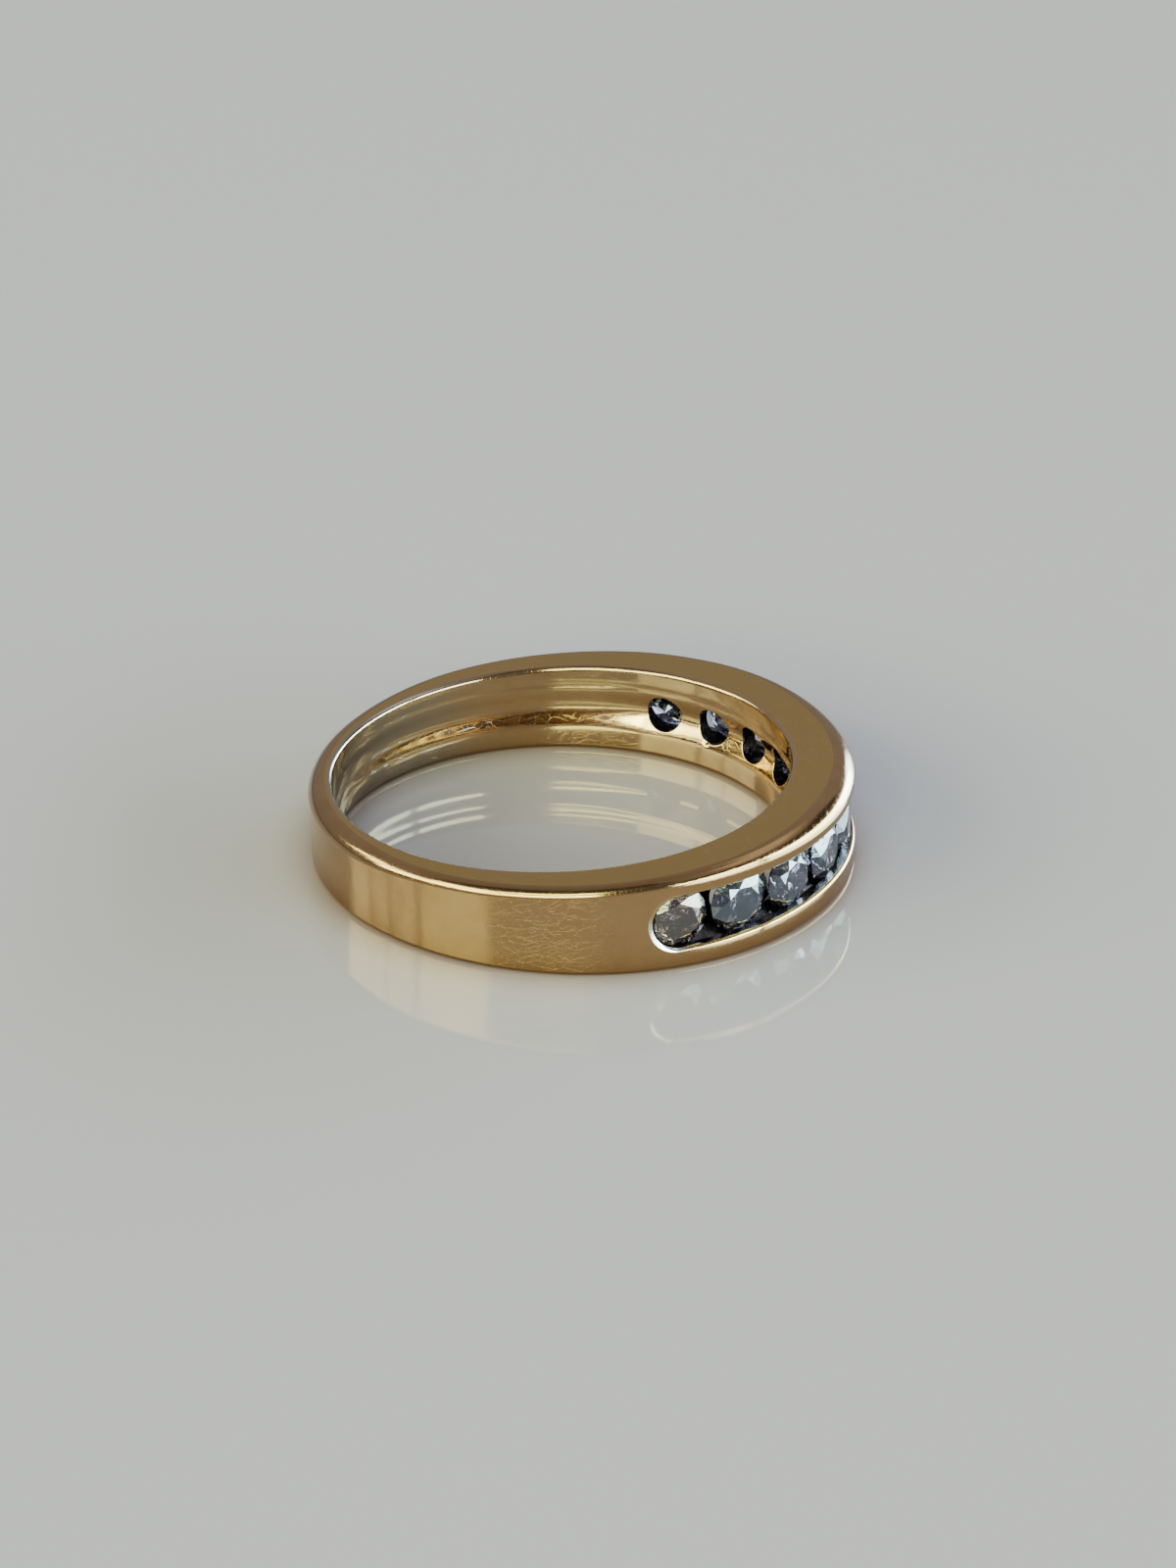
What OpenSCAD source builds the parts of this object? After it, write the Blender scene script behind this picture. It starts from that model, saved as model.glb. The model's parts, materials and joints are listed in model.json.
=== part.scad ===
// Channel-set diamond band, lying on one side face.
// Millimetres, +Z up. The head with its stones points to +X, and the floor is z = 0.
// The origin is under the middle of the outer circle, on the floor.

/* [Finger hole] */
// Inside diameter
finger_d = 17.3; // [16:0.1:19]
// Bevel on both edges of the finger hole
bore_bevel = 0.16; // [0.1:0.01:0.25]

/* [Band] */
// Wall thickness at the head, under the middle of the row of stones
head_wall = 2.41; // [2.3:0.01:2.8]
// Wall thickness at the back, opposite the head
back_wall = 0.87; // [0.7:0.01:1.2]
// Width at the head, from side face to side face
head_w = 4.07; // [3.9:0.01:4.6]
// Width at the back
back_w = 3.0; // [2.6:0.01:3.4]
// Rounding of the two outer edges
edge_r = 0.34; // [0.2:0.01:0.42]

/* [Stones] */
// Girdle diameter of each stone
stone_d = 2.4; // [2.2:0.01:2.44]
// Angle from one stone to the next, about the middle of the outer circle
stone_pitch = 15.3; // [15:0.05:16]
// Depth of the girdle's upper edge under the outer surface
stone_depth = 0.52; // [0.48:0.01:0.56]
// Table diameter as a share of the girdle
table_share = 0.57; // [0.53:0.01:0.62]
// Crown height as a share of the girdle
crown_share = 0.148; // [0.14:0.001:0.16]
// Girdle thickness as a share of the girdle diameter
girdle_share = 0.03; // [0.02:0.005:0.04]
// Pavilion depth as a share of the girdle
pavilion_share = 0.43; // [0.42:0.005:0.44]
// Turn of each stone about its own axis, against the stone before it
stone_spin = 19; // [0:1:44]

/* [Channel] */
// Clear width between the two lips
lip_w = 2.1; // [2.04:0.01:2.16]
// Bright-cut bevel along the lip's outer edge
lip_bevel = 0.15; // [0.1:0.01:0.18]
// Depth of the lip's underside
lip_depth = 0.38; // [0.34:0.01:0.4]
// Room around the girdle and under the pavilion
seat_gap = 0.05; // [0.04:0.01:0.06]
// Width of the lower slot, between the two seats
slot_w = 1.6; // [1.4:0.05:1.7]
// Depth of the lower slot's floor under the outer surface
slot_depth = 1.3; // [1.2:0.05:1.4]
// Diameter of the round window under each stone
window_d = 1.45; // [1.3:0.05:1.5]

/* [Pore] */
// Diameter of the small casting pore in the bore
pore_d = 0.3; // [0.2:0.02:0.4]
// Angle of the pore from the head
pore_turn = 55; // [50:1:60]
// Height of the pore from the band's middle, down
pore_drop = 0.65; // [0.5:0.05:0.8]

/* [Hidden] */
NODES = [
    "band",
    "diamond_01", "diamond_02", "diamond_03", "diamond_04", "diamond_05",
    "diamond_06", "diamond_07", "diamond_08", "diamond_09", "diamond_10"
];
$fn = 96;

// The outer circle is larger than the bore and lies nearer the head
bore_r = finger_d / 2;
outer_r = (finger_d + head_wall + back_wall) / 2;
outer_x = (head_wall - back_wall) / 2;

// Both side faces lean by the same angle, so the band is wider at the head
face_tilt = atan((head_w - back_w) / (2 * outer_r) / 2);
middle_w = (head_w + back_w) / 2 - 2 * outer_x * tan(face_tilt);
tall = 3 * head_w;

// Points along the rounded outer edge, from near the wall to the side face
edge_turns = [10, 30, 50, 70, 90];

stone_n = len(NODES) - 1;
stone_r = stone_d / 2;
row_turn = stone_pitch * (stone_n - 1);
girdle_h = girdle_share * stone_d;
pavilion_h = pavilion_share * stone_d;

// Half section of the channel: distance from its middle, and depth under the surface
lip_x = lip_w / 2;
groove_x = stone_r + seat_gap;
seat_y = stone_depth + girdle_h;
slot_x = slot_w / 2;
slope = pavilion_h / stone_r;
above = 0.4;
channel_half = [
    [0, -above],
    [lip_x + lip_bevel + above, -above],
    [lip_x, lip_bevel],
    [lip_x, lip_depth],
    [groove_x, lip_depth],
    [groove_x, seat_y],
    [slot_x, seat_y + (groove_x - slot_x) * slope],
    [slot_x, slot_depth],
    [0, slot_depth]
];

// Radius and height of a point on a brilliant, for a girdle radius of 1 at height 0
half_facet = 360 / 16;
star_r = (1 + table_share * cos(half_facet)) / 2;
star_h = 2 * crown_share * (1 - star_r * cos(half_facet)) / (1 - table_share);
lower_r = 0.22;
lower_h = -2 * girdle_share - 2 * pavilion_share * (1 - lower_r * cos(half_facet));

// Ring of points at one radius and height, in turn steps from a first angle
function round_points(r, z, n, first) =
    [for (i = [0 : n - 1]) [r * cos(first + i * 360 / n), r * sin(first + i * 360 / n), z]];

// Turns and lifts a shape from the ring's own frame, with the bore along Z, onto its side face
module lay_down() {
    translate([-outer_x, 0, middle_w / 2 * cos(face_tilt)])
        rotate([0, -face_tilt, 0])
            children();
}

// Everything under one leaning side face with a rounded edge. Below the rounding it stands
// clear of the outer wall, and it flares so that its lean never brings it back to the wall
module leaning_cap() {
    wall_clear = 0.1;
    wall_drop = 0.3;
    flare = 2;
    arc = [for (t = edge_turns) [outer_r - edge_r + edge_r * cos(t), -edge_r + edge_r * sin(t)]];
    below = [[0, -tall], [outer_r + flare, -tall], [outer_r + wall_clear, -edge_r - wall_drop]];
    translate([outer_x, 0, middle_w / 2 + outer_x * tan(face_tilt)])
        rotate([0, -face_tilt, 0])
            rotate_extrude()
                polygon(concat(below, arc, [[0, 0]]));
}

// Outer form of the band, with both side faces
module blank() {
    intersection() {
        translate([outer_x, 0, 0])
            cylinder(r = outer_r, h = tall, center = true);
        leaning_cap();
        mirror([0, 0, 1])
            leaning_cap();
    }
}

// Bevel at one edge of the finger hole: a cone that starts well inside the bore
module bore_edge() {
    reach = 1;
    translate([0, 0, middle_w / 2])
        rotate([0, -face_tilt, 0])
            translate([0, 0, -bore_bevel - reach])
                cylinder(r1 = bore_r - reach, r2 = bore_r + bore_bevel + reach, h = bore_bevel + 2 * reach);
}

// Places a shape at a stone's seat: its Z axis points outwards and z = 0 is the outer surface
module at_seat(turn) {
    translate([outer_x, 0, 0])
        rotate([0, 0, turn])
            translate([outer_r, 0, 0])
                rotate([0, 90, 0])
                    children();
}

// The channel from end stone to end stone
module channel_run() {
    section = concat(
        [for (p = channel_half) [outer_r - p[1], p[0]]],
        [for (i = [len(channel_half) - 1 : -1 : 0]) [outer_r - channel_half[i][1], -channel_half[i][0]]]
    );
    translate([outer_x, 0, 0])
        rotate([0, 0, -row_turn / 2])
            rotate_extrude(angle = row_turn)
                polygon(section);
}

// The channel's round end, about the end stone's axis
module channel_end(turn) {
    at_seat(turn)
        rotate_extrude()
            polygon([for (p = channel_half) [p[0], -p[1]]]);
}

// One window from the lower slot to the finger hole, cut past both
module window(turn) {
    past_bore = 1;
    past_slot = 0.05;
    depth = head_wall + past_bore;
    at_seat(turn)
        translate([0, 0, -depth])
            cylinder(d = window_d, h = depth - slot_depth + past_slot);
}

// Small open pore in the bore
module pore() {
    rotate([0, 0, pore_turn])
        translate([bore_r, 0, -pore_drop])
            sphere(d = pore_d, $fn = 24);
}

// The gold ring in its own frame
module ring() {
    difference() {
        blank();
        cylinder(r = bore_r, h = tall, center = true);
        bore_edge();
        mirror([0, 0, 1])
            bore_edge();
        channel_run();
        channel_end(-row_turn / 2);
        channel_end(row_turn / 2);
        for (i = [0 : stone_n - 1])
            window(-row_turn / 2 + i * stone_pitch);
        pore();
    }
}

// Round brilliant with 57 facets; its girdle's upper edge is at z = 0 and its table faces up
module brilliant() {
    points = concat(
        round_points(table_share, 2 * crown_share, 8, 0),
        round_points(star_r, star_h, 8, half_facet),
        round_points(1, 0, 16, 0),
        round_points(1, -2 * girdle_share, 16, 0),
        round_points(lower_r, lower_h, 8, half_facet),
        [[0, 0, -2 * girdle_share - 2 * pavilion_share]]
    );
    star = 8;
    upper = 16;
    lower = 32;
    keel = 48;
    culet = 56;
    faces = concat(
        [[7, 6, 5, 4, 3, 2, 1, 0]],
        [for (i = [0 : 7]) [i, (i + 1) % 8, star + i]],
        [for (i = [0 : 7]) [i, star + i, upper + 2 * i, star + (i + 7) % 8]],
        [for (i = [0 : 7]) [star + i, upper + 2 * i + 1, upper + 2 * i]],
        [for (i = [0 : 7]) [star + i, upper + (2 * i + 2) % 16, upper + 2 * i + 1]],
        [for (i = [0 : 15]) [upper + i, upper + (i + 1) % 16, lower + (i + 1) % 16, lower + i]],
        [for (i = [0 : 7]) [lower + 2 * i, lower + 2 * i + 1, keel + i]],
        [for (i = [0 : 7]) [lower + 2 * i + 1, lower + (2 * i + 2) % 16, keel + i]],
        [for (i = [0 : 7]) [lower + 2 * i, keel + i, culet, keel + (i + 7) % 8]]
    );
    scale(stone_r)
        polyhedron(points, faces, convexity = 2);
}

module band() {
    color("#c49a52")
        lay_down()
            ring();
}

module diamond(i) {
    color("#d8dce2")
        lay_down()
            at_seat(-row_turn / 2 + i * stone_pitch)
                translate([0, 0, -stone_depth])
                    rotate([0, 0, i * stone_spin])
                        brilliant();
}

band();
for (i = [0 : stone_n - 1])
    diamond(i);
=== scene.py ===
"""Diamond band: a yellow gold ring that lies on its side face, with ten round brilliants in a channel.

The part's frame has +Z up, the head with its stones at +X and the floor at z = 0. The ring is worked out
in its own frame first, with the finger hole along Z and the middle of the hole at the origin, and
RingForm.lay_down turns and lifts it onto its side face. Lengths are metres, written as millimetres times MM.
"""

import json
import logging
import math
from dataclasses import dataclass, field
from enum import Enum

import bmesh
import bpy
import numpy as np
from mathutils import Matrix, Vector

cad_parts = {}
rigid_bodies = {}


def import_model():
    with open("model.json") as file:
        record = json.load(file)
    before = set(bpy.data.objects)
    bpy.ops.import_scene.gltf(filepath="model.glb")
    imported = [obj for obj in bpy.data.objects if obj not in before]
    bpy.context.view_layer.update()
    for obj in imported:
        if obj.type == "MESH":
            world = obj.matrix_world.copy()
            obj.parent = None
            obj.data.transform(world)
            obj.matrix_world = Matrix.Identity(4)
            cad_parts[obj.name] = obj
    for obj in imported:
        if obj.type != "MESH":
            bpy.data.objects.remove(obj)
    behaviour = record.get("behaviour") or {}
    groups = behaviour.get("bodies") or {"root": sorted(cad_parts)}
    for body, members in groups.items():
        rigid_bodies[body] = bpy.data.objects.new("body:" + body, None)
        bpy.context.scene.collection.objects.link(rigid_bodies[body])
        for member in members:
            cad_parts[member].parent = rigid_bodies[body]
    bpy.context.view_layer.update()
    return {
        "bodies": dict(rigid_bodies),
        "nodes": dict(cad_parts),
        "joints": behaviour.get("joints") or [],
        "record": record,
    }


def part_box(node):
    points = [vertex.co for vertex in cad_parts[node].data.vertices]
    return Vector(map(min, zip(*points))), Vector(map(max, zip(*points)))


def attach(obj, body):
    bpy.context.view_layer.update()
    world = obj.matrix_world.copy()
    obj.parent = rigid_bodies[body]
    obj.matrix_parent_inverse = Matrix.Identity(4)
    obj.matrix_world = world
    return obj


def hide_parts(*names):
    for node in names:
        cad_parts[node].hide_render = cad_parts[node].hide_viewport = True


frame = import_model()

MM = 0.001
BODY = "root"
STONE_COUNT = 10
Array = np.ndarray
Outline = tuple[Array, Array]
Pair = tuple[float, float]
Triple = tuple[float, float, float]
Socket = bpy.types.NodeSocket
LOG = logging.getLogger("diamond_band")


class Region(Enum):
    """Region of the ring with a finish of its own: the place of that finish in the ring's material list."""

    POLISHED = 0
    SATIN = 1
    LIP = 2
    CHANNEL = 3
    BORE = 4


class Clarity(Enum):
    """How clear a stone is."""

    CLEAR = "clear"
    BROWN = "brown"
    CLOUDY = "cloudy"


def spaced(start: float, end: float, steps: int, margin: float = 0.0) -> Array:
    """Even samples from start to end, with one more narrow step at both ends that keeps the shading crisp.

    Args:
        start: First sample.
        end: Last sample.
        steps: Number of even steps between the narrow ones.
        margin: Share of the whole that each narrow step takes. Without it all steps are even.

    Returns:
        The samples in order.
    """
    inner = np.linspace(margin, 1 - margin, steps + 1)
    shares = np.concatenate([[0.0], inner, [1.0]]) if margin else inner
    return start + (end - start) * shares


def joined(*runs: Array) -> Array:
    """Runs of samples in one array, each without its first sample, which the run before it ends on.

    Args:
        runs: Arrays that each start where the one before ends.

    Returns:
        One array.
    """
    return np.concatenate([runs[0]] + [run[1:] for run in runs[1:]])


def between(first: Array, second: Array, share: Array) -> Array:
    """Straight blend: one minus the share of the first, plus the share of the second."""
    return (1 - share) * first + share * second


def rows_between(
    first: Outline, second: Outline, share: Array
) -> list[Array]:
    """Rows of turns and of heights that lead from one outline to another.

    Args:
        first: Turns and heights once round the first outline.
        second: The same for the second one, point by point.
        share: Shares of the way at which the rows' points lie.

    Returns:
        Turns and heights, each in an array of outline points x shares.
    """
    return [between(a[:, None], b[:, None], share[None, :]) for a, b in zip(first, second)]


def face_outwards(mesh: bpy.types.Mesh, weld: float = 0.0) -> int:
    """Turns a closed mesh's faces outwards, after its doubles are welded where a distance is given.

    Args:
        mesh: The mesh.
        weld: Distance under which two points become one.

    Returns:
        Number of open edges.
    """
    shell = bmesh.new()
    shell.from_mesh(mesh)
    if weld:
        bmesh.ops.remove_doubles(shell, verts=shell.verts, dist=weld)
    bmesh.ops.recalc_face_normals(shell, faces=shell.faces)
    loose = sum(not edge.is_manifold for edge in shell.edges)
    shell.to_mesh(mesh)
    shell.free()
    return loose


class Patchwork:
    """Grids of points that are gathered and then welded into one closed mesh."""

    WELD = 0.0005 * MM

    def __init__(self) -> None:
        """Starts with no grids."""
        self._points: list[Array] = []
        self._faces: list[Array] = []
        self._regions: list[Array] = []
        self._count = 0

    def add(self, grid: Array, region: Region) -> None:
        """Adds a grid as quads: face (i, j) joins points (i, j), (i + 1, j), (i + 1, j + 1) and (i, j + 1).

        Args:
            grid: Points in an array of rows x columns x 3.
            region: Finish of the faces.
        """
        rows, columns = grid.shape[:2]
        place = np.arange(rows * columns).reshape(rows, columns) + self._count
        faces = np.stack([place[:-1, :-1], place[1:, :-1], place[1:, 1:], place[:-1, 1:]], axis=-1)
        self._points.append(grid.reshape(-1, 3))
        self._faces.append(faces.reshape(-1, 4))
        self._regions.append(np.full(faces.shape[0] * faces.shape[1], region.value))
        self._count += rows * columns

    def mesh(self, name: str, crease: float) -> bpy.types.Mesh:
        """Puts all grids into one mesh, welds them, turns the faces outwards and shades them smooth.

        Args:
            name: Name of the mesh.
            crease: Angle in radians from which an edge stays sharp.

        Returns:
            The mesh.
        """
        points = np.concatenate(self._points)
        faces = np.concatenate(self._faces)
        made = bpy.data.meshes.new(name)
        made.vertices.add(len(points))
        made.vertices.foreach_set("co", points.astype(np.float32).ravel())
        made.loops.add(faces.size)
        made.loops.foreach_set("vertex_index", faces.astype(np.int32).ravel())
        made.polygons.add(len(faces))
        made.polygons.foreach_set("loop_start", np.arange(0, faces.size, 4, dtype=np.int32))
        made.polygons.foreach_set("material_index", np.concatenate(self._regions).astype(np.int32))
        made.update(calc_edges=True)
        loose = face_outwards(made, self.WELD)
        made.shade_smooth()
        made.set_sharp_from_angle(angle=crease)
        LOG.info("%s: %d faces, %d open edges", name, len(made.polygons), loose)
        return made


def ease(value: Array, low: float, high: float) -> Array:
    """Smooth step of a value, with 3 s squared minus 2 s cubed for the share s of the way.

    Args:
        value: Values in any shape.
        low: Value at which the step is still 0.
        high: Value at which it has come to 1. It may be less than low.

    Returns:
        Shares from 0 to 1, in the same shape.
    """
    share = np.clip((value - low) / (high - low), 0, 1)
    return share**2 * (3 - 2 * share)


def from_head(turn: Array) -> Array:
    """Degrees from the head to a turn, either way round.

    Args:
        turn: Turns in radians.

    Returns:
        Degrees from 0 to 180.
    """
    return np.degrees(np.abs(np.mod(turn + math.pi, 2 * math.pi) - math.pi))


def new_piece(name: str, mesh: bpy.types.Mesh, node: str) -> bpy.types.Object:
    """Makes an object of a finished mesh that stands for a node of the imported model.

    Args:
        name: Name of the piece.
        mesh: Its mesh, already in place.
        node: Node that it stands for.

    Returns:
        The object.
    """
    made = bpy.data.objects.new(name, mesh)
    bpy.context.scene.collection.objects.link(made)
    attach(made, BODY)
    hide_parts(node)
    return made


@dataclass(frozen=True)
class RingForm:
    """Sizes of the ring's plain form, and the way from its own frame to the part's frame.

    A place on the ring is given by its turn about the middle of the outer circle, its depth under the
    outer circle and its height above the ring's middle plane.
    """

    bore_r: float
    outer_r: float
    outer_x: float
    tilt: float
    middle_w: float
    bore_edge_r: float = 0.2 * MM

    @classmethod
    def from_frame(cls, packed: dict) -> "RingForm":
        """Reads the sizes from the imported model: its finger hole mount and the box of its band.


        Returns:
            The ring's form.
        """
        hole = next(m for m in packed["record"]["mounts"] if m["name"] == "finger_bore")
        low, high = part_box("band")
        tilt = math.asin(-hole["axis"][0])
        return cls(
            bore_r=hole["dims"]["r_mm"] * MM,
            outer_r=(high.y - low.y) / 2,
            outer_x=-hole["pos_m"][0],
            tilt=tilt,
            middle_w=2 * hole["pos_m"][2] / math.cos(tilt),
        )

    def lay_down(self, x: Array, y: Array, z: Array) -> Array:
        """Turns points about Y by the tilt and lifts them, so that the lower side face lies on the floor.

        Args:
            x: Places along the head's direction, in the ring's own frame.
            y: Places across it.
            z: Heights along the finger hole.

        Returns:
            Points in the part's frame, in an array with one more axis of 3.
        """
        cos, sin = math.cos(self.tilt), math.sin(self.tilt)
        x, y, z = np.broadcast_arrays(x, y, z)
        lift = self.middle_w / 2 * cos
        return np.stack([x * cos - z * sin - self.outer_x, y, x * sin + z * cos + lift], axis=-1)

    def half_width(self, turn: Array, depth: Array) -> Array:
        """Height of the leaning side face: half the middle width plus x times the tangent of the tilt."""
        x = self.outer_x + (self.outer_r - depth) * np.cos(turn)
        return self.middle_w / 2 + x * math.tan(self.tilt)

    def wall(self, turn: Array) -> Array:
        """Thickness of the wall along a ray from the outer circle's middle to where it meets the bore."""
        x = self.outer_x
        reach = np.sqrt(self.bore_r**2 - (x * np.sin(turn)) ** 2) - x * np.cos(turn)
        return self.outer_r - reach

    def at(self, turn: Array, depth: Array, height: Array) -> Array:
        """Points in the part's frame for turns, depths and heights, which are broadcast together."""
        r = self.outer_r - depth
        return self.lay_down(self.outer_x + r * np.cos(turn), r * np.sin(turn), height + 0 * turn)

    def at_seat(self, seat: float, reach: Array, along: Array, height: Array) -> Array:
        """Points square to a stone's axis: the axis runs outwards through the outer circle's middle.

        Args:
            seat: Turn of the axis.
            reach: Distance from the outer circle's middle, along the axis.
            along: Offset from the axis along the band.
            height: Offset from the axis across the band.

        Returns:
            Points in the part's frame.
        """
        cos, sin = math.cos(seat), math.sin(seat)
        x = self.outer_x + reach * cos - along * sin
        return self.lay_down(x, reach * sin + along * cos, height)

    def bore_reach(self, seat: float, along: Array) -> Array:
        """Distance along a stone's axis, from the outer circle's middle, where an offset meets the bore."""
        x = self.outer_x
        return np.sqrt(self.bore_r**2 - (along - x * math.sin(seat)) ** 2) - x * math.cos(seat)


@dataclass(frozen=True)
class ChannelForm:
    """Sizes of the channel that holds the stones. Depths count from the outer circle inwards."""

    pitch: float
    lip_half: float = 1.05 * MM
    cut_lean: float = math.radians(20)
    cut_end: float = math.radians(32)
    cut_r: float = 0.3 * MM
    cut_points: int = 5
    lip_r: float = 0.11 * MM
    lip_points: int = 8
    end_flare: float = 0.09 * MM
    lip_depth: float = 0.38 * MM
    groove_half: float = 1.25 * MM
    seat_depth: float = 0.592 * MM
    slot_half: float = 0.8 * MM
    slot_top: float = 0.979 * MM
    slot_depth: float = 1.3 * MM
    window_r: float = 0.725 * MM
    window_rim: float = 0.025 * MM

    @classmethod
    def from_frame(cls, packed: dict, form: RingForm) -> "ChannelForm":
        """Reads the pitch from the first stone, whose corners lie evenly about its axis.

        Args:
            form: The ring's form.

        Returns:
            The channel's form.
        """
        corners = packed["nodes"]["diamond_01"].data.vertices
        places = np.empty(3 * len(corners), np.float32)
        corners.foreach_get("co", places)
        x, y, _ = places.reshape(-1, 3).astype(float).mean(axis=0)
        ahead = (x + form.outer_x) / math.cos(form.tilt) - form.outer_x
        return cls(pitch=-2 * math.atan2(y, ahead) / (STONE_COUNT - 1))

    @property
    def half_turn(self) -> float:
        """Turn from the head to the axis of the last stone."""
        return self.pitch * (STONE_COUNT - 1) / 2

    def seats(self) -> Array:
        """Turns of the stones' axes, in order."""
        return np.linspace(-self.half_turn, self.half_turn, STONE_COUNT)

    def lip(self) -> Outline:
        """The bright-cut lip's profile: a shallow arc from a slight break at the wall, then a tight one.

        Each step of lean adds radius times lean to the length, and that goes across by its cosine and
        down by its sine.

        Returns:
            Half widths and depths, from the wall to the channel's side.
        """
        cut = np.linspace(self.cut_lean, self.cut_end, self.cut_points)
        lean = joined(cut, np.linspace(self.cut_end, math.pi / 2, self.lip_points))
        middle = (lean[1:] + lean[:-1]) / 2
        length = np.where(middle < self.cut_end, self.cut_r, self.lip_r) * np.diff(lean)
        across = np.concatenate([[0.0], np.cumsum(length * np.cos(middle))])
        down = np.concatenate([[0.0], np.cumsum(length * np.sin(middle))])
        return self.lip_half + across[-1] - across, down

    def section(self) -> list[tuple[Array, Array, Region]]:
        """The channel's half section, as runs of half width and depth, each with its region."""
        line = spaced(0, 1, steps=2, margin=0.06)
        lip_halves, lip_depths = self.lip()
        corners = [
            (self.lip_half, lip_depths[-1]),
            (self.lip_half, self.lip_depth),
            (self.groove_half, self.lip_depth),
            (self.groove_half, self.seat_depth),
            (self.slot_half, self.slot_top),
            (self.slot_half, self.slot_depth),
        ]
        walls = [
            (between(a[0], b[0], line), between(a[1], b[1], line), Region.CHANNEL)
            for a, b in zip(corners, corners[1:])
        ]
        return [(lip_halves, lip_depths, Region.LIP)] + walls


@dataclass(frozen=True)
class BoreHollow:
    """Shallow hollow round the middle of the bore, with a faint polished step above it and one pore.

    Two straight flanks meet the flat parts in soft bends. Towards the head the hollow is deeper and its
    flanks are steeper, by the second number of each pair, and it runs out before the back. Spans are in
    degrees from the head.
    """

    slope: Pair = (0.335, 0.09)
    bend: Pair = (0.1 * MM, -0.04 * MM)
    floor_half: Pair = (0.22 * MM, -0.1 * MM)
    mouth_half: Pair = (0.74 * MM, 0.12 * MM)
    head_span: Pair = (90.0, 72.0)
    back_span: Pair = (178.0, 145.0)
    step_depth: float = 0.03 * MM
    step_rise: Pair = (0.8 * MM, 0.95 * MM)
    step_fall: Pair = (1.0 * MM, 1.25 * MM)
    pore_turn: float = math.radians(55)
    pore_height: float = -0.65 * MM
    pore_r: float = 0.12 * MM
    pore_depth: float = 0.156 * MM

    def depth(self, bore_r: float, turn: Array, height: Array) -> Array:
        """Depth by which the bore's wall lies behind its plain cylinder.

        A flank with soft bends is the slope times the bend times the difference of two softplus curves.
        The pore is a bell: its depth times e to the minus square of the distance in radii.

        Args:
            bore_r: Radius of the plain cylinder.
            turn: Turns about the outer circle's middle.
            height: Heights above the ring's middle plane.

        Returns:
            Depths, for turns and heights that are broadcast together.
        """
        around = from_head(turn)
        head, fade = ease(around, *self.head_span), ease(around, *self.back_span)
        sizes = (self.slope, self.bend, self.floor_half, self.mouth_half)
        slope, bend, start, end = (plain + more * head for plain, more in sizes)
        height_in = np.abs(height)
        ramp = np.logaddexp(0, (end - height_in) / bend) - np.logaddexp(0, (start - height_in) / bend)
        step = self.step_depth * (ease(height, *self.step_rise) - ease(height, *self.step_fall))
        along = bore_r * (np.mod(turn - self.pore_turn + math.pi, 2 * math.pi) - math.pi)
        apart = (along**2 + (height - self.pore_height) ** 2) / self.pore_r**2
        return fade * (slope * bend * ramp + step) + self.pore_depth * np.exp(-apart)


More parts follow.
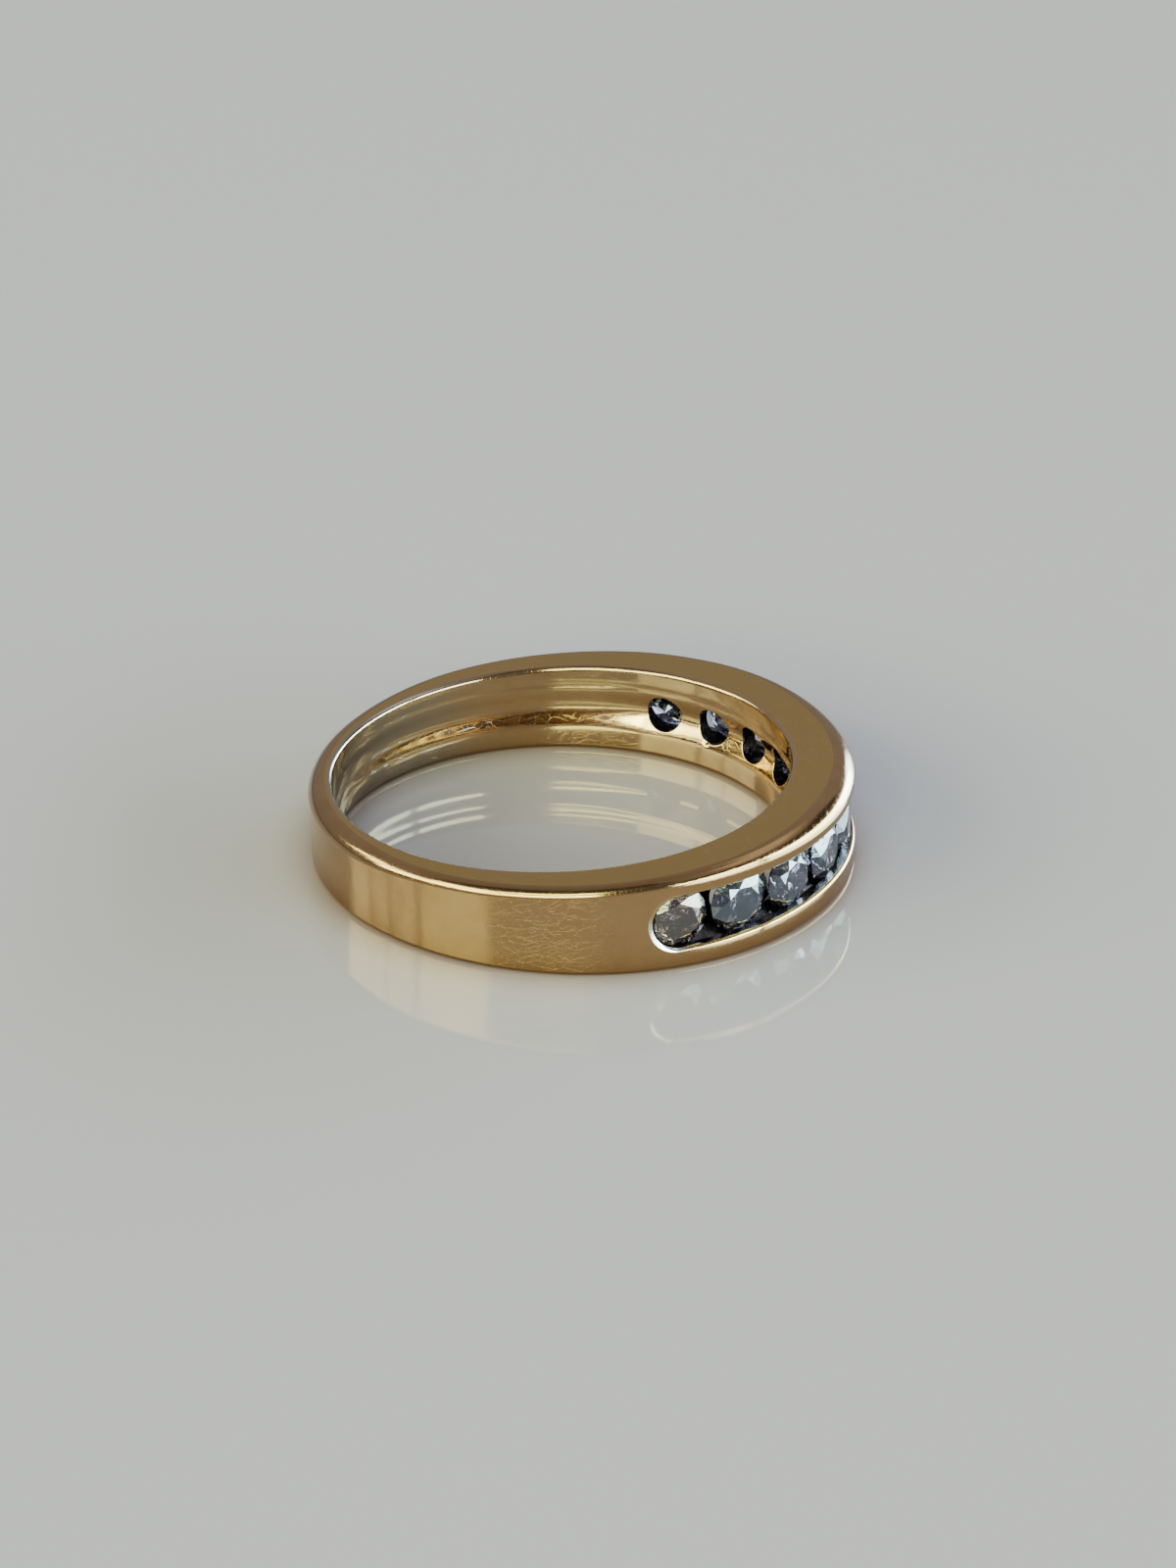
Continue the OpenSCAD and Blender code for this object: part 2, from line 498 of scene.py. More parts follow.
@dataclass
class GoldBand:
    """The ring's gold: shank, side faces, channel, windows and the small marks of wear.

    Spans are in degrees from the head. The pairs for a strip are its slopes at the outer end and the lip.
    """

    form: RingForm
    channel: ChannelForm
    hollow: BoreHollow = BoreHollow()
    cell_steps: int = 24
    end_steps: int = 12
    side_steps: int = 18
    shank_steps: int = 260
    edge_points: int = 12
    bore_edge_points: int = 9
    rim_points: int = 5
    crease: float = math.radians(32)
    wall_end: float = math.radians(84)
    cell_half: float = 0.95 * MM
    upper_drop: float = 0.3 * MM
    back_drop: float = 0.17 * MM
    head_drop: float = 0.27 * MM
    lower_drop: float = 0.17 * MM
    edge_start: float = math.radians(11)
    upper_strip: Pair = (math.radians(20), math.radians(5))
    lower_strip: Pair = (math.radians(4), math.radians(10))
    bead_height: float = 0.042 * MM
    bead_width: float = 0.095 * MM
    least_flank: float = 0.04
    back_span: Pair = (118.0, 152.0)
    head_span: Pair = (62.0, 18.0)
    bead_span: Pair = (64.0, 76.0)
    strip_span: Pair = (76.0, 60.0)
    turns_outside: Array = field(init=False)
    turns_inside: Array = field(init=False)

    def __post_init__(self) -> None:
        """Sets the turns at which the rings of points lie, outside and inside, from seat 1 once round.

        Both have as many samples. Beyond the last stone the outer ones spread further, to leave room for
        the channel's round end.
        """
        self.turns_outside = self._once_round(self.wall_end)
        self.turns_inside = self._once_round(self.channel.half_turn + self.channel.pitch / 2)

    def _once_round(self, end: float) -> Array:
        """Turns along the stones, on to an end, round the shank and back to where they started."""
        half, full = self.channel.half_turn, 2 * math.pi
        return joined(
            self.row,
            np.linspace(half, end, self.end_steps + 1),
            np.linspace(end, full - end, self.shank_steps + 1),
            np.linspace(full - end, full - half, self.end_steps + 1),
        )

    @property
    def shank(self) -> slice:
        """Samples of the turns that lie on the shank, between the ends of the channel's surroundings."""
        first = self.cell_steps * (STONE_COUNT - 1) + self.end_steps
        return slice(first, first + self.shank_steps + 1)

    @property
    def row(self) -> Array:
        """Turns along the row of stones, from the first one's axis to the last one's."""
        half = self.channel.half_turn
        return np.linspace(-half, half, self.cell_steps * (STONE_COUNT - 1) + 1)

    @property
    def cap(self) -> Array:
        """Angles round a slot's end, from its upper side to its lower one."""
        return np.linspace(math.pi / 2, -math.pi / 2, 2 * self.end_steps + self.side_steps + 1)

    def side_and_edges(self, cloth: Patchwork) -> None:
        """Adds both side faces with their rounded edges.

        The outer edge is an arc from a slight break at the wall round to the face, the face is a straight
        run to the inner edge, and that is a quarter circle from the face into the bore. At the upper side
        a narrow flank climbs from the wall to a bead, and the bead's height runs out along the arc.

        Args:
            cloth: Takes the grids.
        """
        form = self.form
        arc = np.linspace(0, math.pi / 2, self.bore_edge_points)[None, :]
        outside, inside = self.turns_outside[:, None], self.turns_inside[:, None]
        along = np.linspace(0, 1, self.edge_points)[None, :]
        share = spaced(0, 1, steps=7, margin=0.012)[None, :]
        face_turn = between(outside, inside, share)
        face_end = form.wall(face_turn) - form.bore_edge_r
        inner_depth = form.wall(inside) - form.bore_edge_r * (1 - np.sin(arc))
        inner_drop = form.bore_edge_r * (1 - np.cos(arc))
        climb = spaced(0, 1, steps=1, margin=0.08)[None, :]
        for side in (1, -1):
            drop = self._edge_drop(outside, side)
            start = self.edge_start + 0 * outside
            if side > 0:
                start = start + (self.upper_strip[0] - self.edge_start) * self._on_strips(outside)
            lean = start + (math.pi / 2 - start) * along
            edge_r = drop / (1 - np.sin(start))
            bead = self.bead_height * self._bead(outside) if side > 0 else 0 * outside
            rise = -bead * climb
            flank = form.half_width(outside, rise) - drop - self._flank_width(outside) * (1 - climb)
            cloth.add(form.at(outside, rise, side * flank), Region.POLISHED)
            outer_depth = edge_r * (np.cos(start) - np.cos(lean)) - bead * (1 - along)
            outer = form.half_width(outside, outer_depth) - edge_r * (1 - np.sin(lean))
            cloth.add(form.at(outside, outer_depth, side * outer), Region.POLISHED)
            face_depth = between(edge_r * np.cos(start), face_end, share)
            face = form.half_width(face_turn, face_depth)
            cloth.add(form.at(face_turn, face_depth, side * face), Region.SATIN)
            inner = form.half_width(inside, inner_depth) - inner_drop
            cloth.add(form.at(inside, inner_depth, side * inner), Region.BORE)

    def _bead(self, turn: Array) -> Array:
        """Share of the bead, by which the upper outer edge stands proud of the wall. It ends at the head."""
        return ease(from_head(turn), *self.bead_span)

    def _flank_width(self, turn: Array) -> Array:
        """Width of the flank between the wall and the bead, with a least share where there is no bead."""
        return self.bead_width * (self.least_flank + (1 - self.least_flank) * self._bead(turn))

    def _on_strips(self, turn: Array) -> Array:
        """Share by which the wall is the pair of domed strips beside the channel."""
        return ease(from_head(turn), *self.strip_span)

    def _edge_drop(self, turn: Array, side: int) -> Array:
        """Height that an outer edge's rounding takes. The upper one grows towards the back and the head."""
        if side < 0:
            return self.lower_drop + 0 * turn
        around = from_head(turn)
        back, head = ease(around, *self.back_span), ease(around, *self.head_span)
        return self.upper_drop + self.back_drop * back + self.head_drop * head

    def _wall_height(self, turn: Array, level: Array) -> Array:
        """Height on the outer wall at a level, from -1 at its lower flank to 1 at its upper one."""
        full = self.form.half_width(turn, 0) - self._flank_width(turn)
        top, foot = full - self._edge_drop(turn, 1), full - self._edge_drop(turn, -1)
        return (top + foot) / 2 * level + (top - foot) / 2

    def outer_wall(self, cloth: Patchwork) -> None:
        """Adds the outer wall: plain round the shank, and round the channel rows between two outlines.

        A row is a share s of the way from the wall's own outline to the channel's round-ended outline.
        Beside the channel it stands proud by width times s times (1 - s) times (a (1 - s) + b s), a
        shallow dome with slope a at its outer end and slope b at the lip.

        Args:
            cloth: Takes the grids.
        """
        levels = spaced(1, -1, self.side_steps - 2, margin=0.01)
        turn = self.turns_outside[self.shank][:, None]
        cloth.add(self.form.at(turn, 0 * turn, self._wall_height(turn, levels[None, :])), Region.POLISHED)
        far_turn, far_level = self._wall_outline(levels)
        far_height = self._wall_height(far_turn, far_level)
        mouth = self.channel.lip()[0][0]
        near_turn, near_height = self._stadium(mouth, 0.0, self.channel.end_flare)
        share = spaced(0, 1, steps=9, margin=0.02)
        rows_turn, rows_height = rows_between((far_turn, far_height), (near_turn, near_height), share)
        width = np.hypot(self.form.outer_r * (far_turn - near_turn), far_height - near_height)[:, None]
        above = (1 + far_level[:, None]) / 2
        strips = zip(self.lower_strip, self.upper_strip)
        outer, inner = (between(math.tan(low), math.tan(up), above) for low, up in strips)
        slope = between(outer, inner, share)
        dome = width * slope * share * (1 - share) * self._on_strips(rows_turn)
        cloth.add(self.form.at(rows_turn, -dome, rows_height), Region.POLISHED)

    def _wall_outline(self, levels: Array) -> Outline:
        """Turns and levels once round the part of the outer wall that holds the channel.

        Args:
            levels: Levels down the wall's end, from 1 to -1.

        Returns:
            Turns and levels, from seat 1 along the top.
        """
        rest = np.linspace(self.channel.half_turn, self.wall_end, self.end_steps + 1)
        top = joined(self.row, rest)
        side = np.full(len(levels), self.wall_end)
        turn = joined(top, side, top[::-1], -rest, -side, -rest[::-1])
        foot = -np.ones(len(top) + len(rest) - 1)
        level = joined(np.ones(len(top)), levels, foot, levels[::-1], np.ones(len(rest)))
        return turn, level

    def _stadium(self, half: float, depth: float, flare: float = 0.0) -> Outline:
        """Turns and heights once round a slot with round ends about the axes of the first and last stone.

        Args:
            half: Half width of the slot, and radius of its ends.
            depth: Depth at which it lies.
            flare: How much larger the ends' radius is at their tips. It grows by the angle's cosine.

        Returns:
            Turns and heights, from seat 1 along the top.
        """
        edge, row, cap = self.channel.half_turn, self.row, self.cap
        radius = half + flare * np.cos(cap)
        reach = radius * np.cos(cap) / (self.form.outer_r - depth)
        turn = joined(row, edge + reach, row[::-1], -edge - reach)
        flat = np.full(len(row), half)
        height = joined(flat, radius * np.sin(cap), -flat, -radius * np.sin(cap))
        return turn, height

    def channel_walls(self, cloth: Patchwork) -> None:
        """Adds the lip, groove, seat and slot: the channel's half section carried round its outline.

        Args:
            cloth: Takes the grids.
        """
        for halves, depths, region in self.channel.section():
            spread = (halves - halves[-1]) / (halves[0] - halves[-1]) if region is Region.LIP else 0 * halves
            flares = self.channel.end_flare * spread
            outlines = [self._stadium(*places) for places in zip(halves, depths, flares)]
            turn = np.stack([line[0] for line in outlines], axis=1)
            height = np.stack([line[1] for line in outlines], axis=1)
            cloth.add(self.form.at(turn, depths[None, :], height), region)

    def _window_angles(self) -> Array:
        """Angles once round a window, from the upper corner at the band's lower turn, clockwise."""
        steps = 2 * (self.cell_steps + self.side_steps)
        corner = math.pi * (0.5 + self.cell_steps / steps)
        return np.linspace(corner, corner - 2 * math.pi, steps + 1)

    def _cell(self, seat: float, half: float) -> Outline:
        """Turns and heights once round the four-sided cell of one stone, in step with _window_angles."""
        reach = self.channel.pitch / 2
        top = np.linspace(seat - reach, seat + reach, self.cell_steps + 1)
        side = np.linspace(half, -half, self.side_steps + 1)
        turn = joined(top, np.full(len(side), top[-1]), top[::-1], np.full(len(side), top[0]))
        level = np.full(len(top), half)
        return turn, joined(level, side, -level, side[::-1])

    def _end_cell(self, half: float, depth: float) -> Outline:
        """Turns and heights once round the round-ended cell of the last stone, in the slot's floor."""
        edge = self.channel.half_turn
        rest = np.linspace(edge - self.channel.pitch / 2, edge, self.cell_steps // 2 + 1)
        side = np.linspace(-half, half, self.side_steps + 1)
        reach = half * np.cos(self.cap) / (self.form.outer_r - depth)
        turn = joined(rest, edge + reach, rest[::-1], np.full(len(side), rest[0]))
        level = np.full(len(rest), half)
        return turn, joined(level, half * np.sin(self.cap), -level, side)

    def windows(self, cloth: Patchwork) -> None:
        """Adds the slot's floor, the windows and the bore's wall round them, cell by cell.

        Each flat grid goes in even shares from the cell's outline to the window's circle. At the first
        stone the round-ended cell and the angles run the other way round.

        Args:
            cloth: Takes the grids.
        """
        form, channel = self.form, self.channel
        angle = self._window_angles()
        along, height = channel.window_r * np.cos(angle), channel.window_r * np.sin(angle)
        shift = np.arcsin(along / (form.outer_r - channel.slot_depth))
        share = spaced(0, 1, steps=4, margin=0.03)
        for place, seat in enumerate(channel.seats()):
            side = 1 if place else -1
            floor_turn, floor_height = self._cell(seat, channel.slot_half)
            if place in (0, STONE_COUNT - 1):
                floor_turn, floor_height = self._end_cell(channel.slot_half, channel.slot_depth)
                floor_turn = side * floor_turn
            turn, level = rows_between((floor_turn, floor_height), (seat + side * shift, height), share)
            cloth.add(form.at(turn, channel.slot_depth + 0 * turn, level), Region.CHANNEL)
            rim_turn, rim_height, rim_points = self._window_wall(cloth, seat)
            turn, level = rows_between(self._cell(seat, self.cell_half), (rim_turn, rim_height), share)
            flat = self._bore_at(turn, level)
            flat[:, -1] = rim_points
            cloth.add(flat, Region.BORE)

    def _window_wall(self, cloth: Patchwork, seat: float) -> tuple[Array, Array, Array]:
        """Adds one window's wall, ruled from its rim to the slot's floor. The rim is a quarter circle.

        Args:
            cloth: Takes the grids.
            seat: Turn of the window's axis.

        Returns:
            Turns, heights and points once round the rim, where it meets the bore.
        """
        form, channel = self.form, self.channel
        angle = self._window_angles()[:, None]
        arc = np.linspace(0, math.pi / 2, self.rim_points)[None, :]
        radius = channel.window_r + channel.window_rim * (1 - np.sin(arc))
        along, height = radius * np.cos(angle), radius * np.sin(angle)
        wall = form.bore_reach(seat, along)
        wall = wall + self.hollow.depth(form.bore_r, seat + np.arctan2(along, wall), height)
        reach = wall + channel.window_rim * (1 - np.cos(arc))
        rounding = form.at_seat(seat, reach, along, height)
        cloth.add(rounding, Region.BORE)
        floor = np.sqrt((form.outer_r - channel.slot_depth) ** 2 - along[:, -1:] ** 2)
        climb = between(reach[:, -1:], floor, spaced(0, 1, steps=3, margin=0.04)[None, :])
        cloth.add(form.at_seat(seat, climb, along[:, -1:], height[:, -1:]), Region.CHANNEL)
        return seat + np.arctan2(along[:, 0], reach[:, 0]), height[:, 0], rounding[:, 0]

    def _bore_at(self, turn: Array, height: Array) -> Array:
        """Points of the bore's wall, with its hollow, at turns and heights."""
        form = self.form
        return form.at(turn, form.wall(turn) - self.hollow.depth(form.bore_r, turn, height), height)

    def bore(self, cloth: Patchwork) -> None:
        """Adds the bore's wall: plain round the shank, and two strips above and below the windows.

        Args:
            cloth: Takes the grids.
        """
        turn = self.turns_inside[self.shank][:, None]
        upper = self._upper_strip(turn)
        middle = np.linspace(1, -1, self.side_steps + 1)[None, 1:-1] * self.cell_half
        whole = np.concatenate([upper, middle + 0 * turn, -upper[:, ::-1]], axis=1)
        cloth.add(self._bore_at(turn, whole), Region.BORE)
        first, last = self.shank.start, self.shank.stop - 1
        over = [self.turns_inside[last:-1] - 2 * math.pi, self.turns_inside[: first + 1]]
        turn = np.concatenate(over)[:, None]
        for side in (1, -1):
            cloth.add(self._bore_at(turn, side * self._upper_strip(turn)), Region.BORE)

    def _upper_strip(self, turn: Array) -> Array:
        """Heights from the bore's upper rounded edge down to the windows' cells."""
        top = self.form.half_width(turn, self.form.wall(turn)) - self.form.bore_edge_r
        return between(top, self.cell_half, spaced(0, 1, steps=9, margin=0.02)[None, :])

    def build(self) -> bpy.types.Object:
        """Makes the ring's piece, which stands for the node band.

        Returns:
            The piece, without its materials.
        """
        cloth = Patchwork()
        self.side_and_edges(cloth)
        self.outer_wall(cloth)
        self.channel_walls(cloth)
        self.windows(cloth)
        self.bore(cloth)
        mesh = cloth.mesh("gold_band", self.crease)
        return new_piece("gold_band", mesh, "band")


@dataclass(frozen=True)
class Brilliant:
    """Round brilliant with 57 facets. Sizes other than the radius are shares of the radius."""

    radius: float
    table: float = 0.57
    crown: float = 0.296
    girdle: float = 0.06
    pavilion: float = 0.86
    keel: float = 0.22
    girdle_steps: int = 4

    def points(self) -> Array:
        """Corners of the stone about its own axis, with the girdle's upper edge at height 0.

        The rings are the table, the star points, the girdle's two edges, the pavilion's keel points and
        the culet. The girdle is a true cylinder: each of its edges is where a facet's plane, which falls
        from the chord between two of 16 marks, cuts the cylinder.

        Returns:
            Corners in an array of count x 3, scaled to the radius.
        """
        eighth = math.pi / 4
        half = eighth / 2
        corner = np.arange(8) * eighth
        star_r = (1 + self.table * math.cos(half)) / 2
        star_h = self.crown * (1 - star_r * math.cos(half)) / (1 - self.table)
        keel_h = -self.girdle - self.pavilion * (1 - self.keel * math.cos(half))
        edge = np.arange(16 * self.girdle_steps) * half / self.girdle_steps
        chord = math.cos(half / 2)
        bulge = np.cos(edge % half - half / 2) - chord
        rise = star_h / (chord * (1 - star_r))
        fall = (-self.girdle - keel_h) / (chord * (1 - self.keel))

        def ring(radius: float, angle: Array, height: float | Array) -> Array:
            """Points at one radius, at the given angles and heights."""
            flat = height + 0 * angle
            return np.stack([radius * np.cos(angle), radius * np.sin(angle), flat], axis=-1)

        rings = [
            ring(self.table, corner, self.crown),
            ring(star_r, corner + half, star_h),
            ring(1.0, edge, -rise * bulge),
            ring(1.0, edge, -self.girdle + fall * bulge),
            ring(self.keel, corner + half, keel_h),
            np.array([[0.0, 0.0, -self.girdle - self.pavilion]]),
        ]
        return np.concatenate(rings) * self.radius

    def faces(self) -> list[list[int]]:
        """Facets as lists of corners: table, stars, kites, upper facets, girdle, lower facets and mains."""
        eight = np.arange(8)
        sector = np.arange(16)
        step, count = self.girdle_steps, 16 * self.girdle_steps
        star, upper = 8, 16
        lower, keel = upper + count, upper + 2 * count
        culet = keel + 8
        run = np.arange(step + 1)[None, :]
        span = (sector[:, None] * step + run) % count
        girdle = np.arange(count)
        after = (girdle + 1) % count
        before = (eight + 7) % 8
        kite = np.stack([eight, star + eight, upper + 2 * step * eight, star + before], axis=1)
        main = np.stack([lower + 2 * step * eight, keel + eight, culet + 0 * eight, keel + before], axis=1)
        groups = [
            eight[None, ::-1],
            np.stack([eight, (eight + 1) % 8, star + eight], axis=1),
            kite,
            np.concatenate([star + sector[:, None] // 2, upper + span[:, ::-1]], axis=1),
            np.stack([upper + girdle, upper + after, lower + after, lower + girdle], axis=1),
            np.concatenate([keel + sector[:, None] // 2, lower + span], axis=1),
            main,
        ]
        return [face for group in groups for face in group.tolist()]


@dataclass
class StoneRow:
    """The ten brilliants. Each differs a little in its cut, its turn and how it sits."""

    form: RingForm
    channel: ChannelForm
    radius: float = 1.2 * MM
    depth: float = 0.52 * MM
    spin: float = math.radians(19)
    size_spread: float = 0.004
    cut_spread: float = 0.012
    spin_spread: float = 0.1
    lean_spread: float = math.radians(0.7)
    seed: int = 7
    clarity: tuple[Clarity, ...] = (
        Clarity.BROWN,
        Clarity.CLOUDY,
        Clarity.CLEAR,
        Clarity.CLEAR,
        Clarity.CLEAR,
        Clarity.CLOUDY,
        Clarity.CLEAR,
        Clarity.BROWN,
        Clarity.CLEAR,
        Clarity.CLEAR,
    )

    def build(self, materials: dict[Clarity, bpy.types.Material]) -> None:
        """Makes the stones' pieces, each in place of its node.

        Args:
            materials: The stones' materials by their clarity.
        """
        draw = np.random.default_rng(self.seed)
        for place, seat in enumerate(self.channel.seats()):
            cut = Brilliant(
                radius=self.radius * (1 + draw.uniform(-self.size_spread, self.size_spread)),
                table=Brilliant.table + draw.uniform(-1, 1) * self.cut_spread,
                crown=Brilliant.crown + draw.uniform(-1, 1) * self.cut_spread / 2,
                pavilion=Brilliant.pavilion + draw.uniform(-1, 1) * self.cut_spread / 2,
            )
            turn = place * self.spin + draw.uniform(-self.spin_spread, self.spin_spread)
            lean = Matrix.Rotation(draw.normal() * self.lean_spread, 3, "X")
            lean = lean @ Matrix.Rotation(draw.normal() * self.lean_spread, 3, "Y")
            turned = cut.points() @ np.array(lean @ Matrix.Rotation(turn, 3, "Z")).T
            reach = self.form.outer_r - self.depth + turned[:, 2]
            points = self.form.at_seat(float(seat), reach, turned[:, 1], -turned[:, 0])
            name = f"brilliant_{place + 1:02d}"
            mesh = bpy.data.meshes.new(name)
            mesh.from_pydata(points, [], cut.faces())
            face_outwards(mesh)
            mesh.materials.append(materials[self.clarity[place]])
            new_piece(name, mesh, f"diamond_{place + 1:02d}")
            LOG.info("%s: %s, %d facets", name, self.clarity[place].value, len(mesh.polygons))


class Wiring:
    """Places nodes in one node tree and joins them."""

    def __init__(self, tree: bpy.types.NodeTree) -> None:
        """Takes the tree."""
        self.tree = tree

    def node(self, kind: str, inputs: dict | None = None, **settings: object) -> bpy.types.Node:
        """Adds a node.

        Args:
            kind: The node's type, without the words ShaderNode in front.
            inputs: For an input's name or place, a value or the output that feeds it.
            settings: Properties of the node.

        Returns:
            The node.
        """
        made = self.tree.nodes.new("ShaderNode" + kind)
        for name, value in settings.items():
            setattr(made, name, value)
        self.feed(made, inputs or {})
        return made

    def feed(self, node: bpy.types.Node, inputs: dict) -> None:
        """Sets a node's inputs, each to a value or to the output that feeds it.

        Args:
            node: The node.
            inputs: For an input's name or place, a value or an output.
        """
        for key, value in inputs.items():
            if isinstance(value, Socket):
                self.tree.links.new(value, node.inputs[key])
            else:
                node.inputs[key].default_value = value

    def math(self, operation: str, *values: object) -> Socket:
        """Adds a Math node on values or outputs, and returns its output."""
        return self.node("Math", dict(enumerate(values)), operation=operation).outputs[0]

    def vector_math(self, operation: str, *values: object) -> bpy.types.Node:
        """Adds a Vector Math node on values or outputs."""
        return self.node("VectorMath", dict(enumerate(values)), operation=operation)

    def remap(self, value: object, low: float, high: float, start: float, end: float) -> Socket:
        """Maps low..high smoothly onto start..end and holds it beyond, and returns the output."""
        inputs = {0: value, 1: low, 2: high, 3: start, 4: end}
        return self.node("MapRange", inputs, interpolation_type="SMOOTHSTEP").outputs[0]

    def mix_colour(self, share: object, first: object, second: object) -> Socket:
        """Mixes two colours by a share, and returns the output."""
        inputs = {0: share, 6: first, 7: second}
        return self.node("Mix", inputs, data_type="RGBA").outputs[2]

    def noise(self, vector: object, scale: object, detail: float = 2.0) -> Socket:
        """Adds a noise texture and returns its value."""
        return self.node("TexNoise", {"Vector": vector, "Scale": scale, "Detail": detail}).outputs[0]

    def bump(self, height: object, distance: float, normal: object = None) -> Socket:
        """Adds a Bump node, on top of another normal where one is given, and returns its normal."""
        below = {"Normal": normal} if normal else {}
        return self.node("Bump", {"Height": height, "Distance": distance, **below}).outputs[0]


def new_material(name: str, constants: dict) -> tuple[bpy.types.Material, Wiring, bpy.types.Node]:
    """Makes a material with constants on its shader's own sockets.

    Args:
        name: Name of the material.
        constants: Values by the names of the shader's inputs.

    Returns:
        The material, the wiring of its tree and its shader.
    """
    made = bpy.data.materials.new(name)
    made.use_nodes = True
    wires = Wiring(made.node_tree)
    shader = made.node_tree.nodes["Principled BSDF"]
    wires.feed(shader, constants)
    return made, wires, shader


class SurfaceGroup:
    """A node group that several finishes share: named inputs, and masks or values as outputs."""

    def __init__(self, name: str, inputs: dict[str, float], outputs: list[str]) -> None:
        """Makes the group's sockets and its first nodes.

        Args:
            name: Name of the group.
            inputs: Default of each input, by its name.
            outputs: Names of the outputs.
        """
        self.tree = bpy.data.node_groups.new(name, "ShaderNodeTree")
        for key, value in inputs.items():
            socket = self.tree.interface.new_socket(key, in_out="INPUT", socket_type="NodeSocketFloat")
            socket.default_value = value
        for key in outputs:
            self.tree.interface.new_socket(key, in_out="OUTPUT", socket_type="NodeSocketFloat")
        self.start = self.tree.nodes.new("NodeGroupInput")
        self.end = self.tree.nodes.new("NodeGroupOutput")
        self.wires = Wiring(self.tree)
        self.place = self.wires.node("TexCoord").outputs["Object"]

    def put_out(self, name: str, value: Socket) -> None:
        """Joins a value to an output."""
        self.tree.links.new(value, self.end.inputs[name])


def clouds_group() -> bpy.types.NodeTree:
    """Slow blotches, as from handling: two noises of different size, averaged.

    Returns:
        The group, with an input Size in metres and an output Mask from 0 to 1.
    """
    group = SurfaceGroup("handling_clouds", {"Size": 1.5 * MM}, ["Mask"])
    wires = group.wires
    finer = 3.7
    coarse_share = 0.65
    low, high = 0.34, 0.66
    scale = wires.math("DIVIDE", 1.0, group.start.outputs["Size"])
    coarse = wires.noise(group.place, scale, 3.0)
    fine = wires.noise(group.place, wires.math("MULTIPLY", scale, finer))
    rest = wires.math("MULTIPLY", fine, 1 - coarse_share)
    both = wires.math("MULTIPLY_ADD", coarse, coarse_share, rest)
    group.put_out("Mask", wires.remap(both, low, high, 0.0, 1.0))
    return group.tree


def scratches_group() -> bpy.types.NodeTree:
    """Hairline scratches: thin level lines of a noise that is stretched along three directions.

    Returns:
        The group, with inputs Length and Gap in metres and an output Mask from 0 to 1.
    """
    group = SurfaceGroup("hairline_scratches", {"Length": 3 * MM, "Gap": 0.35 * MM}, ["Mask"])
    wires = group.wires
    line_width = 0.012
    along, across = (wires.math("DIVIDE", 1.0, group.start.outputs[key]) for key in ("Length", "Gap"))
    stretch = wires.node("CombineXYZ", {0: along, 1: across, 2: across}).outputs[0]
    total: object = 0.0
    for turn in ((0.3, 0.2, 0.5), (1.1, 0.9, 2.2), (2.0, 1.7, 0.9)):
        placed = {"Vector": group.place, "Rotation": turn}
        turned = wires.node("VectorRotate", placed, rotation_type="EULER_XYZ").outputs[0]
        stretched = wires.vector_math("MULTIPLY", turned, stretch).outputs[0]
        off = wires.math("ABSOLUTE", wires.math("SUBTRACT", wires.noise(stretched, 1.0, 0.0), 0.5))
        total = wires.math("ADD", total, wires.remap(off, 0.0, line_width, 1.0, 0.0))
    group.put_out("Mask", wires.math("MINIMUM", total, 1.0))
    return group.tree


def brushing_group() -> bpy.types.NodeTree:
    """Brushed lines round the ring: a noise that changes quickly with the radius and slowly along the turn.

    The turn enters as the point's direction from the middle, times a length, so there is no seam.

    Returns:
        The group, with inputs Line and Run in metres and an output Height from 0 to 1.
    """
    group = SurfaceGroup("round_brushing", {"Line": 0.03 * MM, "Run": 1.5 * MM}, ["Height"])
    wires = group.wires
    face_r = 9.5 * MM
    flat = wires.vector_math("MULTIPLY", group.place, (1.0, 1.0, 0.0)).outputs[0]
    radius = wires.vector_math("LENGTH", flat).outputs["Value"]
    slow = wires.vector_math("SCALE", wires.vector_math("NORMALIZE", flat).outputs[0])
    wires.feed(slow, {"Scale": wires.math("DIVIDE", face_r, group.start.outputs["Run"])})
    lines = wires.math("DIVIDE", radius, group.start.outputs["Line"])
    quick = wires.node("CombineXYZ", {2: lines}).outputs[0]
    place = wires.vector_math("ADD", slow.outputs[0], quick).outputs[0]
    group.put_out("Height", wires.noise(place, 1.0))
    return group.tree


